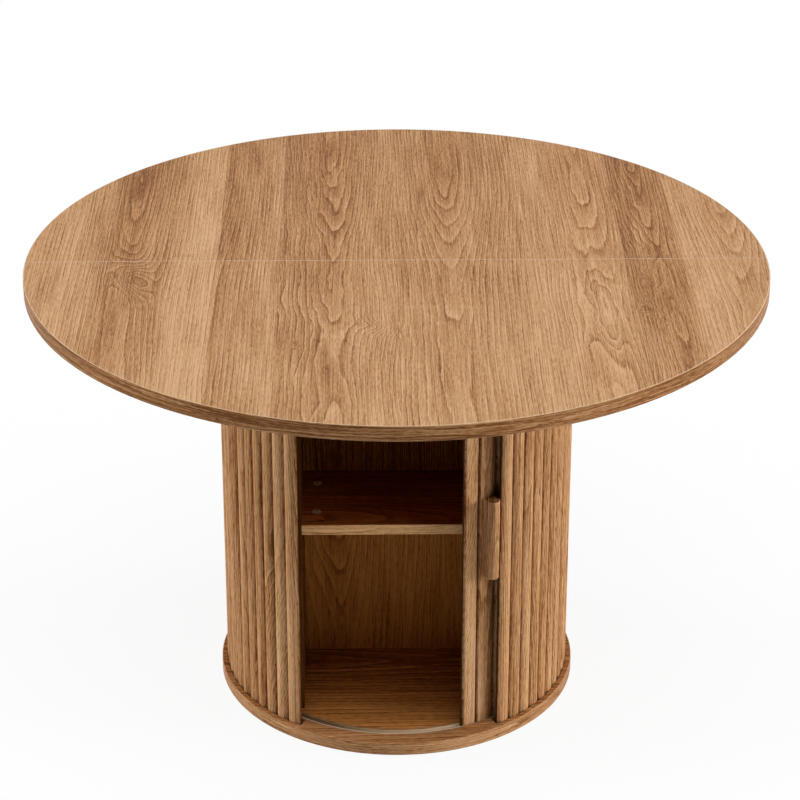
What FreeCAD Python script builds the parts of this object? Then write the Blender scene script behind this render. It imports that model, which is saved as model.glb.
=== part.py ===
import FreeCAD, Part
import math
import os
import Sketcher

# Driving sizes in millimetres and degrees; the origin is the middle of the floor, +Z up, front at -Y
SIZES = {
    # table top, made as two half discs
    "table_height": 755,
    "top_diameter": 1200,
    "top_thickness": 25,
    "top_edge_chamfer": 1.2,
    "seam_arris": 0.6,
    "dowel_diameter": 10,
    "dowel_length": 60,
    "dowel_fit": 0.1,
    "outer_dowel_inset": 90,
    "inner_dowel_inset": 250,
    "joining_plate_inset": 160,
    "joining_plate_length": 110,
    "joining_plate_width": 40,
    "joining_plate_thickness": 2.5,
    "joining_hole_spacing": 20,
    "joining_hole_end": 14,
    # plinth and crown board, two discs that hold the drum between them
    "plate_diameter": 602,
    "plate_thickness": 22,
    "plate_edge_chamfer": 1,
    "groove_depth": 8,
    "glide_height": 2,
    "glide_diameter": 30,
    "glide_pin_diameter": 4,
    "glide_pin_length": 10,
    "glide_inset": 45,
    "glide_count": 6,
    # fixed shell of half-round slats
    "opening_angle": 69,
    "shell_set_back": 9.6,
    "shell_slats_per_side": 29,
    "shell_slat_thickness": 7.2,
    "shell_slat_cheek": 1.2,
    "slat_gap": 0.4,
    "backing_thickness": 0.8,
    "glue_line": 0.1,
    "groove_room": 0.3,
    "slat_end_room": 1,
    # sliding tambour door
    "door_set_back": 22.8,
    "door_slat_count": 13,
    "door_slat_pitch": 5.65,
    "handle_slat_pitch": 7.25,
    "door_slat_thickness": 6.4,
    "door_slat_gap": 4.3,
    "door_slat_round": 2.2,
    "door_lead_angle": 22.95,
    "door_travel": 60,
    "door_run_room": 0.7,
    "door_foot_room": 0.3,
    "door_head_room": 2,
    "track_wall": 1.2,
    "track_fit": 0.15,
    "track_end_room": 0.6,
    # pull bar on the second door slat, which is wider
    "handle_width": 21,
    "handle_depth": 25,
    "handle_length": 140,
    "handle_middle_height": 372,
    "handle_edge_round": 1,
    "handle_screw_spacing": 96,
    # cabinet boards inside the drum
    "compartment_width": 312,
    "panel_thickness": 16,
    "panel_corner_room": 2.3,
    "shelf_top_height": 372,
    "shelf_thickness": 18,
    "board_edge_round": 0.8,
    "cam_diameter": 15,
    "cam_depth": 13,
    "cam_distance": 24,
    "cam_edge_distance": 45.5,
    "cam_slot_width": 2.4,
    "cam_slot_length": 10,
    "cam_slot_depth": 2.5,
    "bolt_diameter": 6,
    "bolt_anchor": 11,
    "shelf_dowel_diameter": 8,
    "shelf_dowel_offset": 32,
    "shelf_dowel_bite": 10,
    # screws
    "panel_screw_diameter": 5,
    "panel_screw_length": 60,
    "panel_screw_inset": 60,
    "top_screw_diameter": 5,
    "top_screw_length": 38,
    "inner_top_screw_x": 85,
    "inner_top_screw_y": 140,
    "outer_top_screw_y": 40,
    "small_screw_diameter": 4,
    "small_screw_length": 16,
    "small_head_diameter": 8,
    "small_head_height": 2,
    "handle_screw_length": 22,
    "sunk_head_diameter": 10,
    "sunk_head_height": 3,
    "screw_fit": 0.1,
}

# Heights and radii worked out from the sheet, as expressions
TOP_RADIUS = "(Sizes.top_diameter / 2)"
TOP_UNDERSIDE = "(Sizes.table_height - Sizes.top_thickness)"
PLATE_RADIUS = "(Sizes.plate_diameter / 2)"
PLINTH_TOP = "(Sizes.glide_height + Sizes.plate_thickness)"
CROWN_UNDERSIDE = f"({TOP_UNDERSIDE} - Sizes.plate_thickness)"
GROOVE_FLOOR = f"({PLINTH_TOP} - Sizes.groove_depth)"
GROOVE_ROOF = f"({CROWN_UNDERSIDE} + Sizes.groove_depth)"

SHELL_CROWN = f"({PLATE_RADIUS} - Sizes.shell_set_back)"
SHELL_BACK = f"({SHELL_CROWN} - Sizes.shell_slat_thickness)"
SHELL_BACKING_OUTSIDE = f"({SHELL_BACK} - Sizes.glue_line)"
SHELL_BACKING_INSIDE = f"({SHELL_BACKING_OUTSIDE} - Sizes.backing_thickness)"
SHELL_SPAN = "(180 - Sizes.opening_angle / 2)"
SHELL_PITCH = f"({SHELL_SPAN} / Sizes.shell_slats_per_side)"
SHELL_GROOVE_INSIDE = f"({SHELL_BACKING_INSIDE} - Sizes.groove_room)"
SHELL_GROOVE_OUTSIDE = f"({SHELL_CROWN} + Sizes.groove_room)"

DOOR_FACE = f"({SHELL_CROWN} - Sizes.door_set_back)"
DOOR_BACK = f"({DOOR_FACE} - Sizes.door_slat_thickness)"
DOOR_BACKING_OUTSIDE = f"({DOOR_BACK} - Sizes.glue_line)"
DOOR_BACKING_INSIDE = f"({DOOR_BACKING_OUTSIDE} - Sizes.backing_thickness)"
DOOR_SPAN = "((Sizes.door_slat_count - 1) * Sizes.door_slat_pitch + Sizes.handle_slat_pitch)"
DOOR_FOOT = f"({GROOVE_FLOOR} + Sizes.track_wall + Sizes.door_foot_room)"
DOOR_HEAD = f"({GROOVE_ROOF} - Sizes.track_wall - Sizes.door_head_room)"
HANDLE_SLAT = 1
HANDLE_TURN = "(Sizes.door_slat_pitch + Sizes.handle_slat_pitch / 2)"
HANDLE_ANGLE = f"(Sizes.door_lead_angle + {HANDLE_TURN})"

TRACK_INSIDE = f"({DOOR_BACKING_INSIDE} - Sizes.door_run_room - Sizes.track_wall)"
TRACK_OUTSIDE = f"({DOOR_FACE} + Sizes.door_run_room + Sizes.track_wall)"
TRACK_CLOSING_END = "(Sizes.door_travel - Sizes.door_lead_angle + Sizes.track_end_room)"
TRACK_OPENING_END = f"(Sizes.door_lead_angle + {DOOR_SPAN} + Sizes.track_end_room)"

HALF_WIDTH = "(Sizes.compartment_width / 2)"
PANEL_OUTSIDE = f"({HALF_WIDTH} + Sizes.panel_thickness)"
PANEL_CORNER = f"({TRACK_INSIDE} - Sizes.track_fit - Sizes.panel_corner_room)"
PANEL_FRONT = f"(sqrt({PANEL_CORNER} ^ 2 - {PANEL_OUTSIDE} ^ 2))"
SHELF_UNDERSIDE = "(Sizes.shelf_top_height - Sizes.shelf_thickness)"
SHELF_MIDDLE = "(Sizes.shelf_top_height - Sizes.shelf_thickness / 2)"
CAM_PLACES = ["Sizes.cam_edge_distance", f"({PANEL_FRONT} - Sizes.cam_edge_distance)"]
SHELF_DOWEL_PLACES = [
    "(Sizes.cam_edge_distance - Sizes.shelf_dowel_offset)",
    f"({PANEL_FRONT} - Sizes.cam_edge_distance + Sizes.shelf_dowel_offset)",
]

doc = FreeCAD.newDocument("RoundTableWithDrumCabinet")
sheet = doc.addObject("Spreadsheet::Sheet", "Sizes")
pieces = []


# Helpers for the sheet, bodies and sketches
def fill_sheet():
    for row, (name, size) in enumerate(SIZES.items(), 1):
        sheet.set(f"A{row}", name)
        sheet.set(f"B{row}", str(size))
        sheet.setAlias(f"B{row}", name)
    doc.recompute()


def number(expression):
    return float(sheet.evalExpression(str(expression)))


def new_body(label, several_solids=False):
    body = doc.addObject("PartDesign::Body", label)
    body.Label = label
    body.AllowCompound = several_solids
    pieces.append(body)
    return body


def turn(body, angle):
    body.Placement = FreeCAD.Placement(FreeCAD.Vector(), FreeCAD.Rotation(FreeCAD.Vector(0, 0, 1), 1))
    body.setExpression("Placement.Rotation.Angle", angle)


def new_sketch(body, role, offset="0"):
    sketch = body.newObject("Sketcher::SketchObject", f"{body.Name}_outline")
    plane = next(feature for feature in body.Origin.OriginFeatures if feature.Role == role)
    sketch.AttachmentSupport = [(plane, "")]
    sketch.MapMode = "FlatFace"
    sketch.setExpression("AttachmentOffset.Base.z", offset)
    return sketch


def drive(sketch, constraint, expression):
    index = sketch.addConstraint(constraint)
    name = f"size{index}"
    sketch.renameConstraint(index, name)
    sketch.setExpression(f"Constraints.{name}", expression)


def pin(sketch, edge, end, x, y):
    drive(sketch, Sketcher.Constraint("DistanceX", -1, 1, edge, end, number(x)), x)
    drive(sketch, Sketcher.Constraint("DistanceY", -1, 1, edge, end, number(y)), y)


def point(x, y):
    return FreeCAD.Vector(number(x), number(y), 0)


def draw_polygon(sketch, corners):
    first = sketch.GeometryCount
    places = [point(x, y) for x, y in corners]
    for here, there in zip(places, places[1:] + places[:1]):
        sketch.addGeometry(Part.LineSegment(here, there))
    for index, (x, y) in enumerate(corners):
        following = first + (index + 1) % len(corners)
        sketch.addConstraint(Sketcher.Constraint("Coincident", first + index, 2, following, 1))
        pin(sketch, first + index, 1, x, y)


def draw_box(sketch, left, right, bottom, top):
    draw_polygon(sketch, [(left, bottom), (right, bottom), (right, top), (left, top)])


def draw_disc_section(sketch, radius, bottom, top, chamfer):
    """Half section of a disc with a small chamfer on both rims."""
    flat = f"({radius} - {chamfer})"
    draw_polygon(sketch, [("0", bottom), (flat, bottom), (radius, f"{bottom} + {chamfer}"),
                          (radius, f"{top} - {chamfer}"), (flat, top), ("0", top)])


def draw_circles(sketch, centres, diameter):
    for x, y in centres:
        circle = Part.Circle(point(x, y), FreeCAD.Vector(0, 0, 1), number(diameter) / 2)
        index = sketch.addGeometry(circle)
        pin(sketch, index, 3, x, y)
        drive(sketch, Sketcher.Constraint("Diameter", index, number(diameter)), diameter)


def draw_bowed_bar(sketch, half_width, back, cheek, crown):
    """Flat back, two straight cheeks and a bowed face that looks along -Y."""
    shoulder = f"({back} + {cheek})"
    rise = f"({crown} - {shoulder})"
    radius = f"(({half_width} ^ 2 + {rise} ^ 2) / (2 * {rise}))"
    back_left = point(f"-{half_width}", f"-{back}")
    back_right = point(half_width, f"-{back}")
    front_left = point(f"-{half_width}", f"-{shoulder}")
    front_right = point(half_width, f"-{shoulder}")
    centre = point("0", f"{radius} - {crown}")
    circle = Part.Circle(centre, FreeCAD.Vector(0, 0, 1), number(radius))
    start = math.atan2(front_left.y - centre.y, front_left.x - centre.x)
    end = math.atan2(front_right.y - centre.y, front_right.x - centre.x)
    back_edge = sketch.addGeometry(Part.LineSegment(back_left, back_right))
    right_edge = sketch.addGeometry(Part.LineSegment(back_right, front_right))
    bow = sketch.addGeometry(Part.ArcOfCircle(circle, start, end))
    left_edge = sketch.addGeometry(Part.LineSegment(front_left, back_left))
    sketch.addConstraint(Sketcher.Constraint("Coincident", back_edge, 2, right_edge, 1))
    sketch.addConstraint(Sketcher.Constraint("Coincident", right_edge, 2, bow, 2))
    sketch.addConstraint(Sketcher.Constraint("Coincident", bow, 1, left_edge, 1))
    sketch.addConstraint(Sketcher.Constraint("Coincident", left_edge, 2, back_edge, 1))
    pin(sketch, back_edge, 1, f"-{half_width}", f"-{back}")
    pin(sketch, right_edge, 1, half_width, f"-{back}")
    pin(sketch, right_edge, 2, half_width, f"-{shoulder}")
    pin(sketch, left_edge, 1, f"-{half_width}", f"-{shoulder}")
    drive(sketch, Sketcher.Constraint("DistanceY", -1, 1, bow, 3, centre.y), f"{radius} - {crown}")


# Helpers for features
def volume(body):
    return 0 if body.Shape.isNull() else body.Shape.Volume


def pad(body, sketch, length, backwards=False):
    feature = body.newObject("PartDesign::Pad", f"{body.Name}_pad")
    feature.Profile = sketch
    feature.Reversed = backwards
    feature.setExpression("Length", length)
    doc.recompute()
    return feature


def pocket(body, sketch, length, backwards=False):
    before = volume(body)
    feature = body.newObject("PartDesign::Pocket", f"{body.Name}_pocket")
    feature.Profile = sketch
    feature.Reversed = backwards
    feature.setExpression("Length", length)
    doc.recompute()
    if not volume(body) < before:
        raise RuntimeError(f"{body.Label}: a pocket removes nothing")


def sweep(body, sketch, angle, other_way="0", kind="PartDesign::Revolution"):
    before = volume(body)
    feature = body.newObject(kind, f"{body.Name}_turned")
    feature.Profile = sketch
    feature.ReferenceAxis = (sketch, ["V_Axis"])
    if other_way == "0":
        feature.Type = "Angle"
    else:
        feature.Type = "TwoAngles"
        feature.setExpression("Angle2", other_way)
    feature.setExpression("Angle", angle)
    doc.recompute()
    if volume(body) == before:
        raise RuntimeError(f"{body.Label}: a turned feature changes nothing")
    return feature


def edge_names(shape, wanted):
    return [f"Edge{index}" for index, edge in enumerate(shape.Edges, 1) if wanted(edge)]


def soften(body, radius, wanted):
    base = body.Tip
    feature = body.newObject("PartDesign::Fillet", f"{body.Name}_softened")
    feature.Base = (base, edge_names(base.Shape, wanted))
    feature.setExpression("Radius", radius)
    doc.recompute()


def near(actual, expression):
    return abs(actual - number(expression)) < 1e-6


def lies_at_height(edge, height):
    return near(edge.BoundBox.ZMin, height) and near(edge.BoundBox.ZMax, height)


def all_signs(x, y):
    return [(f"{across} * {x}", f"{along} * {y}") for across in (-1, 1) for along in (-1, 1)]


# Fastener places shared by the boards and the screws
def panel_screw_places():
    side_x = f"({HALF_WIDTH} + Sizes.panel_thickness / 2)"
    side_y = f"({PANEL_FRONT} - Sizes.panel_screw_inset)"
    back_x = f"({HALF_WIDTH} - Sizes.panel_screw_inset)"
    places = all_signs(side_x, side_y)
    places += [(f"{across} * {back_x}", "Sizes.panel_thickness / 2") for across in (-1, 1)]
    return places


def top_screw_places():
    outer_x = f"(({PANEL_OUTSIDE} + {TRACK_INSIDE}) / 2)"
    return (all_signs("Sizes.inner_top_screw_x", "Sizes.inner_top_screw_y")
            + all_signs(outer_x, "Sizes.outer_top_screw_y"))


def joining_screw_places(side):
    middle = f"({TOP_RADIUS} - Sizes.joining_plate_inset)"
    y = "(Sizes.joining_plate_length / 2 - Sizes.joining_hole_end)"
    return [(f"{side} * {middle} + {across} * Sizes.joining_hole_spacing / 2", f"{along} * {y}")
            for across in (-1, 1) for along in (-1, 1)]


def glide_places():
    radius = f"({PLATE_RADIUS} - Sizes.glide_inset)"
    step = "360 / Sizes.glide_count"
    count = int(number("Sizes.glide_count"))
    return [(f"{radius} * cos({index} * {step})", f"{radius} * sin({index} * {step})")
            for index in range(count)]


def dowel_places():
    insets = ("Sizes.outer_dowel_inset", "Sizes.inner_dowel_inset")
    middle = f"({TOP_UNDERSIDE} + Sizes.top_thickness / 2)"
    return [(f"{side} * ({TOP_RADIUS} - {inset})", middle) for side in (-1, 1) for inset in insets]


def bored(diameter):
    return f"({diameter} + 2 * Sizes.screw_fit)"


# Sunk screws: a straight shank, and a flat head that lies in a counterbore
def make_screws(label, places, head_height, length, diameter, upwards):
    body = new_body(label, several_solids=True)
    for width, reach in ((diameter, length), ("Sizes.sunk_head_diameter", "Sizes.sunk_head_height")):
        sketch = new_sketch(body, "XY_Plane", head_height)
        draw_circles(sketch, places, width)
        pad(body, sketch, reach, backwards=not upwards)


def bore_sunk(body, places, head_height, depth, diameter, upwards):
    bore(body, places, head_height, depth, diameter, upwards)
    bore(body, places, head_height, "Sizes.sunk_head_height", "Sizes.sunk_head_diameter", upwards)


def bore(body, places, height, depth, diameter, upwards):
    holes = new_sketch(body, "XY_Plane", height)
    draw_circles(holes, places, bored(diameter))
    pocket(body, holes, depth, backwards=upwards)


# Table top
def make_table_top(label, rear):
    body = new_body(label)
    section = new_sketch(body, "XZ_Plane")
    draw_disc_section(section, TOP_RADIUS, TOP_UNDERSIDE, "Sizes.table_height", "Sizes.top_edge_chamfer")
    half = sweep(body, section, "180")
    half.Reversed = not rear
    doc.recompute()
    side = 1 if rear else -1
    arris = new_sketch(body, "YZ_Plane", TOP_RADIUS)
    draw_polygon(arris, [("0", "Sizes.table_height"), (f"{side} * Sizes.seam_arris", "Sizes.table_height"),
                         ("0", "Sizes.table_height - Sizes.seam_arris")])
    pocket(body, arris, "Sizes.top_diameter")

    seam = new_sketch(body, "XZ_Plane")
    draw_circles(seam, dowel_places(), "(Sizes.dowel_diameter + 2 * Sizes.dowel_fit)")
    pocket(body, seam, "(Sizes.dowel_length / 2 + Sizes.dowel_fit)", backwards=not rear)

    own_side = [place for place in top_screw_places() if number(place[1]) * side > 0]
    bite = "(Sizes.top_screw_length - Sizes.plate_thickness + Sizes.screw_fit)"
    bore(body, own_side, TOP_UNDERSIDE, bite, "Sizes.top_screw_diameter", True)
    joining = joining_screw_places(-1) + joining_screw_places(1)
    own_joining = [place for place in joining if number(place[1]) * side > 0]
    bite = "(Sizes.small_screw_length - Sizes.joining_plate_thickness + Sizes.screw_fit)"
    bore(body, own_joining, TOP_UNDERSIDE, bite, "Sizes.small_screw_diameter", True)


def make_seam_dowels():
    body = new_body("seam_dowels", several_solids=True)
    sketch = new_sketch(body, "XZ_Plane", "-Sizes.dowel_length / 2")
    draw_circles(sketch, dowel_places(), "Sizes.dowel_diameter")
    pad(body, sketch, "Sizes.dowel_length")


def make_joining_plates():
    body = new_body("joining_plates", several_solids=True)
    sketch = new_sketch(body, "XY_Plane", TOP_UNDERSIDE)
    half_length = "Sizes.joining_plate_length / 2"
    for side in (-1, 1):
        middle = f"{side} * ({TOP_RADIUS} - Sizes.joining_plate_inset)"
        left = f"{middle} - Sizes.joining_plate_width / 2"
        right = f"{middle} + Sizes.joining_plate_width / 2"
        draw_box(sketch, left, right, f"-{half_length}", half_length)
        draw_circles(sketch, joining_screw_places(side), bored("Sizes.small_screw_diameter"))
    pad(body, sketch, "Sizes.joining_plate_thickness", backwards=True)


def make_joining_screws():
    body = new_body("joining_plate_screws", several_solids=True)
    places = joining_screw_places(-1) + joining_screw_places(1)
    seat = f"({TOP_UNDERSIDE} - Sizes.joining_plate_thickness)"
    shanks = new_sketch(body, "XY_Plane", seat)
    draw_circles(shanks, places, "Sizes.small_screw_diameter")
    pad(body, shanks, "Sizes.small_screw_length")
    heads = new_sketch(body, "XY_Plane", seat)
    draw_circles(heads, places, "Sizes.small_head_diameter")
    pad(body, heads, "Sizes.small_head_height", backwards=True)


# Plinth and crown board
def turn_disc(body, bottom, top):
    section = new_sketch(body, "XZ_Plane")
    draw_disc_section(section, PLATE_RADIUS, bottom, top, "Sizes.plate_edge_chamfer")
    sweep(body, section, "360")


def cut_shell_groove(body, mouth, floor):
    """Arc groove for the fixed slats, with the round ends that a cutter leaves."""
    section = new_sketch(body, "YZ_Plane")
    draw_box(section, SHELL_GROOVE_INSIDE, SHELL_GROOVE_OUTSIDE, floor, mouth)
    sweep(body, section, SHELL_SPAN, SHELL_SPAN, "PartDesign::Groove")
    middle = f"(({SHELL_GROOVE_INSIDE} + {SHELL_GROOVE_OUTSIDE}) / 2)"
    ends = new_sketch(body, "XY_Plane", mouth)
    centres = [(f"{side} * {middle} * sin(Sizes.opening_angle / 2)",
                f"-{middle} * cos(Sizes.opening_angle / 2)") for side in (-1, 1)]
    draw_circles(ends, centres, f"({SHELL_GROOVE_OUTSIDE} - {SHELL_GROOVE_INSIDE})")
    pocket(body, ends, "Sizes.groove_depth", backwards=number(floor) > number(mouth))


def cut_track_groove(body, mouth, floor):
    section = new_sketch(body, "YZ_Plane")
    outside = f"-({TRACK_OUTSIDE} + Sizes.track_fit)"
    inside = f"-({TRACK_INSIDE} - Sizes.track_fit)"
    draw_box(section, outside, inside, floor, mouth)
    room = "Sizes.track_end_room"
    sweep(body, section, f"{TRACK_OPENING_END} + {room}", f"{TRACK_CLOSING_END} + {room}",
          "PartDesign::Groove")


def make_plinth():
    body = new_body("plinth")
    turn_disc(body, "Sizes.glide_height", PLINTH_TOP)
    cut_shell_groove(body, PLINTH_TOP, GROOVE_FLOOR)
    cut_track_groove(body, PLINTH_TOP, GROOVE_FLOOR)
    bore_sunk(body, panel_screw_places(), "Sizes.glide_height", "Sizes.plate_thickness",
              "Sizes.panel_screw_diameter", True)
    pin_depth = "(Sizes.glide_pin_length + Sizes.screw_fit)"
    bore(body, glide_places(), "Sizes.glide_height", pin_depth, "Sizes.glide_pin_diameter", True)


def make_crown_board():
    body = new_body("crown_board")
    turn_disc(body, CROWN_UNDERSIDE, TOP_UNDERSIDE)
    cut_shell_groove(body, CROWN_UNDERSIDE, GROOVE_ROOF)
    cut_track_groove(body, CROWN_UNDERSIDE, GROOVE_ROOF)
    bore_sunk(body, panel_screw_places(), TOP_UNDERSIDE, "Sizes.plate_thickness",
              "Sizes.panel_screw_diameter", False)
    bore_sunk(body, top_screw_places(), CROWN_UNDERSIDE, "Sizes.plate_thickness",
              "Sizes.top_screw_diameter", True)


def make_glides():
    body = new_body("floor_glides", several_solids=True)
    feet = new_sketch(body, "XY_Plane")
    draw_circles(feet, glide_places(), "Sizes.glide_diameter")
    pad(body, feet, "Sizes.glide_height")
    pins = new_sketch(body, "XY_Plane", "Sizes.glide_height")
    draw_circles(pins, glide_places(), "Sizes.glide_pin_diameter")
    pad(body, pins, "Sizes.glide_pin_length")


# Cabinet boards
def make_side_panel(label, side):
    body = new_body(label)
    inner_face = f"{side} * {HALF_WIDTH}"
    board = new_sketch(body, "YZ_Plane", inner_face)
    draw_box(board, f"-{PANEL_FRONT}", PANEL_FRONT, PLINTH_TOP, CROWN_UNDERSIDE)
    pad(body, board, "Sizes.panel_thickness", backwards=side < 0)

    def upright(edge):
        return near(edge.Length, f"{CROWN_UNDERSIDE} - {PLINTH_TOP}")
    soften(body, "Sizes.board_edge_round", upright)

    own_screws = [place for place in panel_screw_places()[:4] if number(place[0]) * side > 0]
    bite = "(Sizes.panel_screw_length - Sizes.plate_thickness + Sizes.screw_fit)"
    bore(body, own_screws, PLINTH_TOP, bite, "Sizes.panel_screw_diameter", True)
    bore(body, own_screws, CROWN_UNDERSIDE, bite, "Sizes.panel_screw_diameter", False)
    for places, diameter, depth in shelf_fixings():
        holes = new_sketch(body, "YZ_Plane", inner_face)
        draw_circles(holes, [(f"-{y}", SHELF_MIDDLE) for y in places], bored(diameter))
        pocket(body, holes, f"({depth} + Sizes.screw_fit)", backwards=side > 0)


def shelf_fixings():
    """Places, diameter and depth into the side panels of what holds the shelf's ends."""
    return [(CAM_PLACES, "Sizes.bolt_diameter", "Sizes.bolt_anchor"),
            (SHELF_DOWEL_PLACES, "Sizes.shelf_dowel_diameter", "Sizes.shelf_dowel_bite")]


def make_back_panel():
    body = new_body("back_panel")
    board = new_sketch(body, "XZ_Plane")
    draw_box(board, f"-{HALF_WIDTH}", HALF_WIDTH, PLINTH_TOP, CROWN_UNDERSIDE)
    pad(body, board, "Sizes.panel_thickness", backwards=True)
    own_screws = panel_screw_places()[4:]
    bite = "(Sizes.panel_screw_length - Sizes.plate_thickness + Sizes.screw_fit)"
    bore(body, own_screws, PLINTH_TOP, bite, "Sizes.panel_screw_diameter", True)
    bore(body, own_screws, CROWN_UNDERSIDE, bite, "Sizes.panel_screw_diameter", False)


def cam_lock_places():
    x = f"({HALF_WIDTH} - Sizes.cam_distance)"
    return [(f"{side} * {x}", f"-{y}") for side in (-1, 1) for y in CAM_PLACES]


def make_shelf():
    body = new_body("shelf")
    board = new_sketch(body, "XY_Plane", SHELF_UNDERSIDE)
    draw_box(board, f"-{HALF_WIDTH}", HALF_WIDTH, f"-{PANEL_FRONT}", "0")
    pad(body, board, "Sizes.shelf_thickness")

    def front_edge(edge):
        return near(edge.BoundBox.YMax, f"-{PANEL_FRONT}") and near(edge.Length, "Sizes.compartment_width")
    soften(body, "Sizes.board_edge_round", front_edge)

    bore(body, cam_lock_places(), "Sizes.shelf_top_height", "(Sizes.cam_depth + Sizes.screw_fit)",
         "Sizes.cam_diameter", False)
    depths = ("Sizes.cam_distance", "(Sizes.shelf_dowel_bite + Sizes.screw_fit)")
    for (places, diameter, _), depth in zip(shelf_fixings(), depths):
        for side in (-1, 1):
            holes = new_sketch(body, "YZ_Plane", f"{side} * {HALF_WIDTH}")
            draw_circles(holes, [(f"-{y}", SHELF_MIDDLE) for y in places], bored(diameter))
            pocket(body, holes, depth, backwards=side < 0)


def make_cam_locks():
    body = new_body("shelf_cam_locks", several_solids=True)
    discs = new_sketch(body, "XY_Plane", "Sizes.shelf_top_height")
    draw_circles(discs, cam_lock_places(), "Sizes.cam_diameter")
    pad(body, discs, "Sizes.cam_depth", backwards=True)
    slots = new_sketch(body, "XY_Plane", "Sizes.shelf_top_height")
    for x, y in cam_lock_places():
        draw_box(slots, f"{x} - Sizes.cam_slot_width / 2", f"{x} + Sizes.cam_slot_width / 2",
                 f"{y} - Sizes.cam_slot_length / 2", f"{y} + Sizes.cam_slot_length / 2")
    pocket(body, slots, "Sizes.cam_slot_depth")


def make_shelf_pins(label, places, diameter, anchor, reach):
    """Pins that run from a side panel into the end of the shelf, at both ends."""
    body = new_body(label, several_solids=True)
    for side in (-1, 1):
        sketch = new_sketch(body, "YZ_Plane", f"{side} * ({HALF_WIDTH} + {anchor})")
        draw_circles(sketch, [(f"-{y}", SHELF_MIDDLE) for y in places], diameter)
        pad(body, sketch, f"{anchor} + {reach}", backwards=side > 0)


# Fixed shell
def make_shell_slats(label, side):
    body = new_body(label, several_solids=True)
    sketch = new_sketch(body, "XY_Plane", GROOVE_FLOOR)
    half_width = f"({SHELL_BACK} * tan({SHELL_PITCH} / 2) - Sizes.slat_gap / 2)"
    draw_bowed_bar(sketch, half_width, SHELL_BACK, "Sizes.shell_slat_cheek", SHELL_CROWN)
    slat = pad(body, sketch, f"{GROOVE_ROOF} - {GROOVE_FLOOR} - Sizes.slat_end_room")
    row = body.newObject("PartDesign::PolarPattern", f"{label}_row")
    row.Originals = [slat]
    row.Axis = (sketch, ["N_Axis"])
    row.Reversed = side < 0
    row.setExpression("Angle", f"{SHELL_SPAN} - {SHELL_PITCH}")
    row.setExpression("Occurrences", "Sizes.shell_slats_per_side")
    body.Tip = row
    turn(body, f"{side} * (Sizes.opening_angle / 2 + {SHELL_PITCH} / 2)")


def make_shell_backing(label, side):
    body = new_body(label)
    sketch = new_sketch(body, "YZ_Plane")
    draw_box(sketch, SHELL_BACKING_INSIDE, SHELL_BACKING_OUTSIDE, GROOVE_FLOOR,
             f"{GROOVE_ROOF} - Sizes.slat_end_room")
    sheet_of_cloth = sweep(body, sketch, SHELL_SPAN)
    sheet_of_cloth.Reversed = side > 0


# Sliding door and its tracks
def make_track(label, mouth, floor, wall):
    """Channel bent to the door's arc; wall is the signed thickness of its web."""
    body = new_body(label)
    sketch = new_sketch(body, "YZ_Plane")
    outer, inner = f"-{TRACK_OUTSIDE}", f"-{TRACK_INSIDE}"
    outer_run = f"-({TRACK_OUTSIDE} - Sizes.track_wall)"
    inner_run = f"-({TRACK_INSIDE} + Sizes.track_wall)"
    web = f"({floor} + {wall})"
    draw_polygon(sketch, [(outer, floor), (inner, floor), (inner, mouth), (inner_run, mouth),
                          (inner_run, web), (outer_run, web), (outer_run, mouth), (outer, mouth)])
    sweep(body, sketch, TRACK_OPENING_END, TRACK_CLOSING_END)


def handle_screw_places():
    return [("0", f"Sizes.handle_middle_height + {side} * Sizes.handle_screw_spacing / 2")
            for side in (-1, 1)]


def door_slat_pitch(index):
    return "Sizes.handle_slat_pitch" if index == HANDLE_SLAT else "Sizes.door_slat_pitch"


def door_slat_turn(index):
    """Angle from the door's leading edge to the middle of a slat."""
    before = [door_slat_pitch(earlier) for earlier in range(index)]
    return "(" + " + ".join(before + [f"{door_slat_pitch(index)} / 2"]) + ")"


def make_door_slat(index):
    body = new_body(f"door_slat_{index + 1:02d}")
    sketch = new_sketch(body, "XY_Plane", DOOR_FOOT)
    half_width = f"({DOOR_BACK} * tan({door_slat_pitch(index)} / 2) - Sizes.door_slat_gap / 2)"
    draw_box(sketch, f"-{half_width}", half_width, f"-{DOOR_FACE}", f"-{DOOR_BACK}")
    pad(body, sketch, f"{DOOR_HEAD} - {DOOR_FOOT}")

    def front_corner(edge):
        upright = near(edge.Length, f"{DOOR_HEAD} - {DOOR_FOOT}")
        return upright and near(edge.CenterOfMass.y, f"-{DOOR_FACE}")
    soften(body, "Sizes.door_slat_round", front_corner)
    if index == HANDLE_SLAT:
        holes = new_sketch(body, "XZ_Plane", DOOR_FACE)
        draw_circles(holes, handle_screw_places(), bored("Sizes.small_screw_diameter"))
        pocket(body, holes, "Sizes.door_slat_thickness")
    turn(body, f"Sizes.door_lead_angle + {door_slat_turn(index)}")


def make_door_backing():
    body = new_body("door_backing")
    sketch = new_sketch(body, "YZ_Plane")
    draw_box(sketch, f"-{DOOR_BACKING_OUTSIDE}", f"-{DOOR_BACKING_INSIDE}", DOOR_FOOT, DOOR_HEAD)
    sweep(body, sketch, f"{DOOR_SPAN} - {HANDLE_TURN}", HANDLE_TURN)
    holes = new_sketch(body, "XZ_Plane", DOOR_BACK)
    draw_circles(holes, handle_screw_places(), bored("Sizes.small_screw_diameter"))
    pocket(body, holes, "2 * (Sizes.backing_thickness + Sizes.glue_line)")
    turn(body, HANDLE_ANGLE)


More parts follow.
